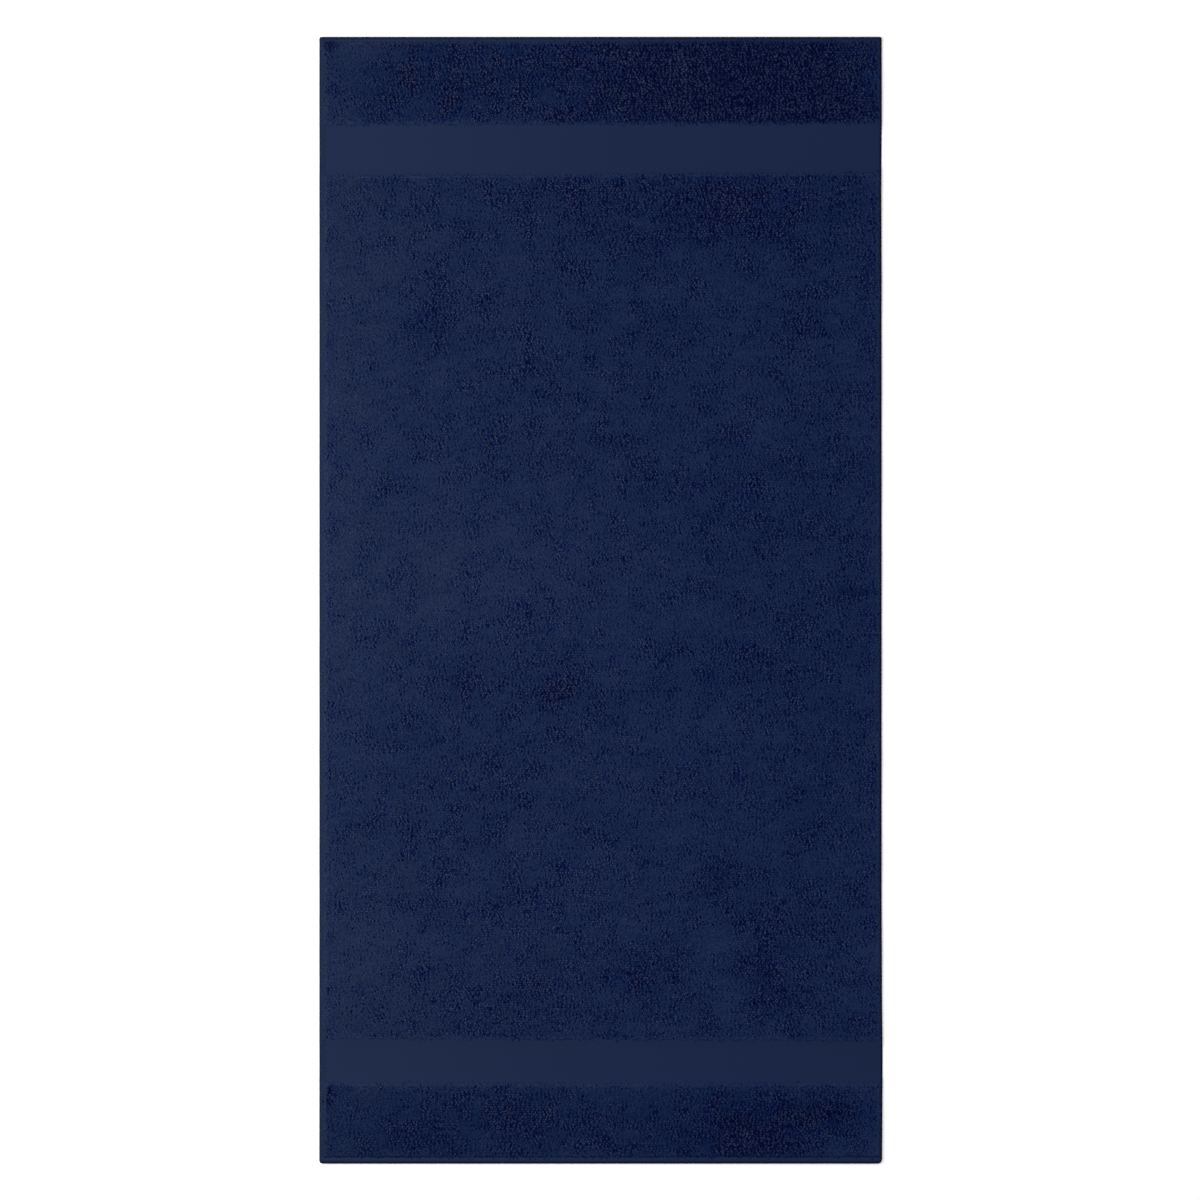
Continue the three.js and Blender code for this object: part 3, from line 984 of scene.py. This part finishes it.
# %% Loops over all the pile
def shapes_on_points(name, points, collection):
    """A piece made of copies of the collection's shapes, one on each point."""
    shape_source.inputs["Collection"].default_value = collection
    holder = bpy.data.objects.new(name + "_points", points)
    bpy.context.scene.collection.objects.link(holder)
    modifier = holder.modifiers.new("set_shapes", "NODES")
    modifier.node_group = set_shapes
    evaluated = holder.evaluated_get(bpy.context.evaluated_depsgraph_get())
    mesh = bpy.data.meshes.new_from_object(evaluated)
    mesh.name = name
    piece = bpy.data.objects.new(name, mesh)
    bpy.context.scene.collection.objects.link(piece)
    bpy.data.objects.remove(holder)
    for polygon in mesh.polygons:
        polygon.use_smooth = True
    print(f"{name}: {len(points.vertices)} points, {len(mesh.polygons)} faces")
    return piece


def make_loops(name, section, share_from, share_to, seed):
    points = planting(name + "_points", section, share_from, share_to, seed)
    return shapes_on_points(name, points, loop_shapes)


FIELD_PARTS = 4
by_name = {section["name"]: section for section in SECTIONS}
loop_pieces = [make_loops("bottom_end_loops", by_name["bottom_end_panel"], 0, 1, 101)]
for part in range(FIELD_PARTS):
    span = (part / FIELD_PARTS, (part + 1) / FIELD_PARTS)
    loop_pieces.append(make_loops(f"field_loops_{part + 1}", by_name["field"], *span, 102 + part))
loop_pieces.append(make_loops("top_end_loops", by_name["top_end_panel"], 0, 1, 107))

# %% [markdown]
# ## The stitches of the hems
# A lockstitch shows as a row of short, plump dashes in a shallow groove, the same on both faces. A bent
# thread would go through the cloth and back, but only the dashes ever show. So each dash is a small ball
# drawn out along the row, and the same nodes that set the loops put the dashes along both hems. There are
# over nine hundred, so they are few-sided too.

# %% The shape of a stitch
STITCH_LENGTH = 0.0025
STITCH_WIDTH = 0.0008
STITCH_HEIGHT = 0.0005

stitch_shapes = bpy.data.collections.new("stitch_shapes")
bm = bmesh.new()
bmesh.ops.create_uvsphere(bm, u_segments=6, v_segments=4, radius=BALL_RADIUS)
bmesh.ops.rotate(bm, cent=(0, 0, 0), matrix=Matrix.Rotation(radians(90), 3, "Y"), verts=bm.verts[:])
bmesh.ops.scale(bm, vec=(STITCH_LENGTH, STITCH_WIDTH, STITCH_HEIGHT), verts=bm.verts[:])
stitch_mesh = bpy.data.meshes.new("stitch_shape")
bm.to_mesh(stitch_mesh)
bm.free()
stitch_shapes.objects.link(bpy.data.objects.new("stitch_shape", stitch_mesh))
print(f"A stitch has {len(stitch_mesh.polygons)} faces")

# %% The rows of stitches
STITCH_PITCH = 0.0030
STITCH_END = 0.004
STITCH_WANDER = 0.00012
STITCH_TURN = 0.06
STITCH_TURN_SPREAD = 0.04
UNDER_STITCH_SINK = 0.00001
STITCH_ROWS = 4


def stitch_points(name, seed):
    """A mesh of single points, one for each stitch, along both hems and on both faces."""
    rng = np.random.default_rng(seed)
    in_a_row = round((WIDTH - 2 * STITCH_END) / STITCH_PITCH)
    mesh, across, along = grid_of_points(name, in_a_row, STITCH_ROWS)
    count = len(across)
    row = np.round(along * (STITCH_ROWS - 1)).astype(int)
    line = np.where(row < STITCH_ROWS / 2, STITCH_INSETS[0], LENGTH - STITCH_INSETS[1])
    x = STITCH_END + across * (width_at(line) - 2 * STITCH_END)
    y = line + rng.normal(0, STITCH_WANDER, count)
    underside, top, _ = cloth_at(x, line)
    on_top = row % 2 == 1
    under_z = underside - STITCH_HEIGHT / 2 + UNDER_STITCH_SINK
    z = np.where(on_top, top + STITCH_HEIGHT / 4, under_z)
    turn = rng.normal(STITCH_TURN, STITCH_TURN_SPREAD, count)
    move_points(mesh, x, y, z)
    keep_vectors(mesh, "turn", np.zeros(count), np.zeros(count), turn)
    keep_vectors(mesh, "size", np.ones(count), np.ones(count), np.ones(count))
    keep_values(mesh, "shape", np.zeros(count), "INT", np.int32)
    return mesh


stitches = shapes_on_points("hem_stitches", stitch_points("hem_stitches_points", 201), stitch_shapes)

# %% [markdown]
# ## The cotton
# One dye colours the whole towel, but the loops look darker than the bands, because light gets lost between
# them. A photograph stretched over the mesh would hold all that, and would fix the light in it for good.
# Here each loop's tone picks its place on a short scale of navies, the plain parts have one navy, and
# towards the left everything is washed out a little by painted light, on the lamp's side.

# %% Helpers for the cotton's materials
def kept_in_mesh(tree, name):
    """A value that is kept on the mesh's vertices, as a material reads it."""
    return add_node(tree, "ShaderNodeAttribute", attribute_name=name).outputs["Fac"]


def calculate(tree, operation, *values):
    """The result of a Math node."""
    return add_node(tree, "ShaderNodeMath", dict(enumerate(values)), operation=operation).outputs[0]


def grain(tree, place, scale):
    """Fine random specks, so many to a metre."""
    noise = add_node(tree, "ShaderNodeTexNoise", {"Vector": place, "Scale": scale, "Detail": 1})
    return noise.outputs["Fac"]


def stretched(tree, place, stretch):
    return add_node(tree, "ShaderNodeMapping", {"Vector": place, "Scale": stretch}).outputs[0]


def finish_cotton(tree, shader, colour, bump, roughness, shine):
    tree.links.new(colour, shader.inputs["Base Color"])
    tree.links.new(bump.outputs["Normal"], shader.inputs["Normal"])
    shader.inputs["Roughness"].default_value = roughness
    shader.inputs["Specular IOR Level"].default_value = shine


# %% Dyes, and painted light on the left side
# The yarn's colour from where it lies deepest, at 0, to where it stands out most, at 1. Along with the
# yarn's own tones, the scale carries painted shade towards 0 and painted light towards 1.
NAVY_TONES = [
    (0.0, (0.0000, 0.0009, 0.0205, 1)),
    (0.15, (0.0000, 0.0040, 0.0385, 1)),
    (0.3, (0.0038, 0.0120, 0.0525, 1)),
    (0.5, (0.0115, 0.0216, 0.0678, 1)),
    (1.0, (0.0250, 0.0385, 0.0970, 1)),
]
# The painted light starts just outside the left side. Its colours multiply the dye's there.
PAINTED_LIGHT_FROM = -0.36
PILE_PAINTED_LIGHT = (1.46, 1.20, 0.98, 1)
PILE_PAINTED_LIGHT_TO = 0.25
BAND_PAINTED_LIGHT = (1.33, 1.17, 1.02, 1)
BAND_PAINTED_LIGHT_TO = 0.20


def painted_left_light(tree, place, colour, light_tint, light_tint_to):
    """The colour, washed out a little by painted light on the left, less and less towards the right."""
    across = add_node(tree, "ShaderNodeSeparateXYZ", {"Vector": place}).outputs["X"]
    share = add_node(
        tree,
        "ShaderNodeMapRange",
        {"Value": across, "From Min": PAINTED_LIGHT_FROM, "From Max": light_tint_to, "To Min": 1, "To Max": 0},
        interpolation_type="SMOOTHSTEP",
    ).outputs["Result"]
    painted_light_wash = add_node(
        tree,
        "ShaderNodeMix",
        {"Factor": share, "A": colour, "B": light_tint},
        data_type="RGBA",
        blend_type="MULTIPLY",
    )
    return painted_light_wash.outputs["Result"]


def tone_to_navy(tree, level):
    ramp = add_node(tree, "ShaderNodeValToRGB", {"Fac": level})
    first, last = ramp.color_ramp.elements
    first.color = NAVY_TONES[0][1]
    last.color = NAVY_TONES[-1][1]
    for place, colour in NAVY_TONES[1:-1]:
        ramp.color_ramp.elements.new(place).color = colour
    return ramp.outputs["Color"]


# %% [markdown]
# ## The loops' material
# The tone kept on each loop gives its colour. Specks of yarn, drawn out along the loop, vary it a little,
# and each crown is given painted light and its sides painted shade, most of all where the loops are
# tousled. Cotton loops scatter light every way, so they have no shine at all.

# %% Looped cotton
YARN_GRAIN = 700
YARN_STRETCH = (1, 0.5, 1)
YARN_TONE = 0.32
YARN_RELIEF = 0.0006
YARN_RELIEF_STRENGTH = 0.5
# Painted light on each loop's crown and painted shade on its sides
CROWN_PAINTED_LIGHT = 0.12
LOOPS_ROUGHNESS = 0.9
LOOPS_SHINE = 0.0

loops_material, tree, shader, place = new_material("looped_cotton")
yarn = grain(tree, stretched(tree, place, YARN_STRETCH), YARN_GRAIN)
specked = calculate(tree, "MULTIPLY_ADD", yarn, YARN_TONE, kept_in_mesh(tree, "tone"))
# Painted light on the crown and painted shade on the sides of each loop
above_middle = calculate(tree, "SUBTRACT", kept_in_mesh(tree, "crown"), 0.5)
crown_painted_light = calculate(tree, "MULTIPLY", above_middle, kept_in_mesh(tree, "rough"))
crowned = calculate(tree, "MULTIPLY_ADD", crown_painted_light, CROWN_PAINTED_LIGHT, specked)
level = calculate(tree, "SUBTRACT", crowned, YARN_TONE / 2)
colour = painted_left_light(tree, place, tone_to_navy(tree, level), PILE_PAINTED_LIGHT, PILE_PAINTED_LIGHT_TO)
bump = add_node(
    tree,
    "ShaderNodeBump",
    {"Height": yarn, "Strength": YARN_RELIEF_STRENGTH, "Distance": YARN_RELIEF},
)
finish_cotton(tree, shader, colour, bump, LOOPS_ROUGHNESS, LOOPS_SHINE)
for piece in loop_pieces:
    put_on(piece, loops_material)

# %% [markdown]
# ## The ground weave's material
# The cloth is three things at once: plain weave in the bands, hems and selvedges, dark ground between the
# loops, and pile again on its underside. The underside is hardly ever seen, so it has no separate loops.
# They are drawn there as short strokes, with bump to shade them. The attributes kept above blend the three.

# %% Woven cotton
BAND_NAVY = (0.0064, 0.0135, 0.0455, 1)
# Painted shade for the thin dark line along the outer edge, where the cloth turns away from the light
RIM_PAINTED_SHADE = (0.0012, 0.0024, 0.0090, 1)
WEAVE_GRAIN = 1100
WEAVE_RELIEF = 0.0001
UNDER_GRAIN = 260
UNDER_STRETCH = (1, 0.55, 1)
UNDER_TONE = 1.0
UNDER_RELIEF = 0.0030
CLOTH_ROUGHNESS = 0.85
CLOTH_SHINE = 0.08

cloth_material, tree, shader, place = new_material("woven_cotton")
# The plain navy, darkened by painted shade towards the outer edge
rim = kept_in_mesh(tree, "rim")
plain = add_node(tree, "ShaderNodeMix", {"Factor": rim, "A": BAND_NAVY, "B": RIM_PAINTED_SHADE}, data_type="RGBA")
plain = painted_left_light(tree, place, plain.outputs["Result"], BAND_PAINTED_LIGHT, BAND_PAINTED_LIGHT_TO)
light = kept_in_mesh(tree, "plain_tone_and_light")
plain = add_node(tree, "ShaderNodeVectorMath", {"Vector": plain, "Scale": light}, operation="SCALE")

strokes = grain(tree, stretched(tree, place, UNDER_STRETCH), UNDER_GRAIN)
stroke = calculate(tree, "SUBTRACT", strokes, 0.5)
under_stroke = calculate(tree, "MULTIPLY", stroke, kept_in_mesh(tree, "underside"))
level = calculate(tree, "MULTIPLY_ADD", under_stroke, UNDER_TONE, kept_in_mesh(tree, "tone"))
piled = painted_left_light(tree, place, tone_to_navy(tree, level), PILE_PAINTED_LIGHT, PILE_PAINTED_LIGHT_TO)
pile = kept_in_mesh(tree, "pile")
colour = add_node(
    tree,
    "ShaderNodeMix",
    {"Factor": pile, "A": plain.outputs["Vector"], "B": piled},
    data_type="RGBA",
)
raised = calculate(tree, "MULTIPLY", under_stroke, pile)
loop_bump = add_node(tree, "ShaderNodeBump", {"Height": raised, "Distance": UNDER_RELIEF})
weave = grain(tree, place, WEAVE_GRAIN)
bump = add_node(
    tree,
    "ShaderNodeBump",
    {"Height": weave, "Distance": WEAVE_RELIEF, "Normal": loop_bump.outputs["Normal"]},
)
finish_cotton(tree, shader, colour.outputs["Result"], bump, CLOTH_ROUGHNESS, CLOTH_SHINE)
put_on(cloth, cloth_material)

# %% [markdown]
# ## The thread's material
# Sewing thread is twisted, so it has fine slanting ridges. A wave texture draws them across the stitches,
# in colour and in bump, because geometry that fine would never show from a step away.

# %% Sewing thread
THREAD_DARK = (0.0040, 0.0085, 0.0300, 1)
THREAD_LIGHT = (0.0080, 0.0160, 0.0500, 1)
TWIST_SCALE = 900
TWIST_DISTORTION = 1.5
TWIST_RELIEF = 0.0001
TWIST_RELIEF_STRENGTH = 0.4
THREAD_ROUGHNESS = 0.6
THREAD_SHINE = 0.08

thread_material, tree, shader, place = new_material("sewing_thread")
twist = add_node(
    tree,
    "ShaderNodeTexWave",
    {"Vector": place, "Scale": TWIST_SCALE, "Distortion": TWIST_DISTORTION},
    bands_direction="DIAGONAL",
).outputs["Fac"]
colour = add_node(tree, "ShaderNodeValToRGB", {"Fac": twist})
colour.color_ramp.elements[0].color = THREAD_DARK
colour.color_ramp.elements[1].color = THREAD_LIGHT
bump = add_node(
    tree,
    "ShaderNodeBump",
    {"Height": twist, "Strength": TWIST_RELIEF_STRENGTH, "Distance": TWIST_RELIEF},
)
finish_cotton(tree, shader, colour.outputs["Color"], bump, THREAD_ROUGHNESS, THREAD_SHINE)
put_on(stitches, thread_material)

# %% [markdown]
# ## Finishing
# Every piece rides on the towel's one body. The cloth stands for the imported solid, which is hidden, and
# the loops and the stitches ride with it.

# %% The body, and the imported solid hidden
laid_with_cloth = [*loop_pieces, stitches]
for piece in (cloth, *laid_with_cloth):
    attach(piece, "root")
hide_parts("towel")
print(f"{1 + len(laid_with_cloth)} pieces ride on the towel's one body")
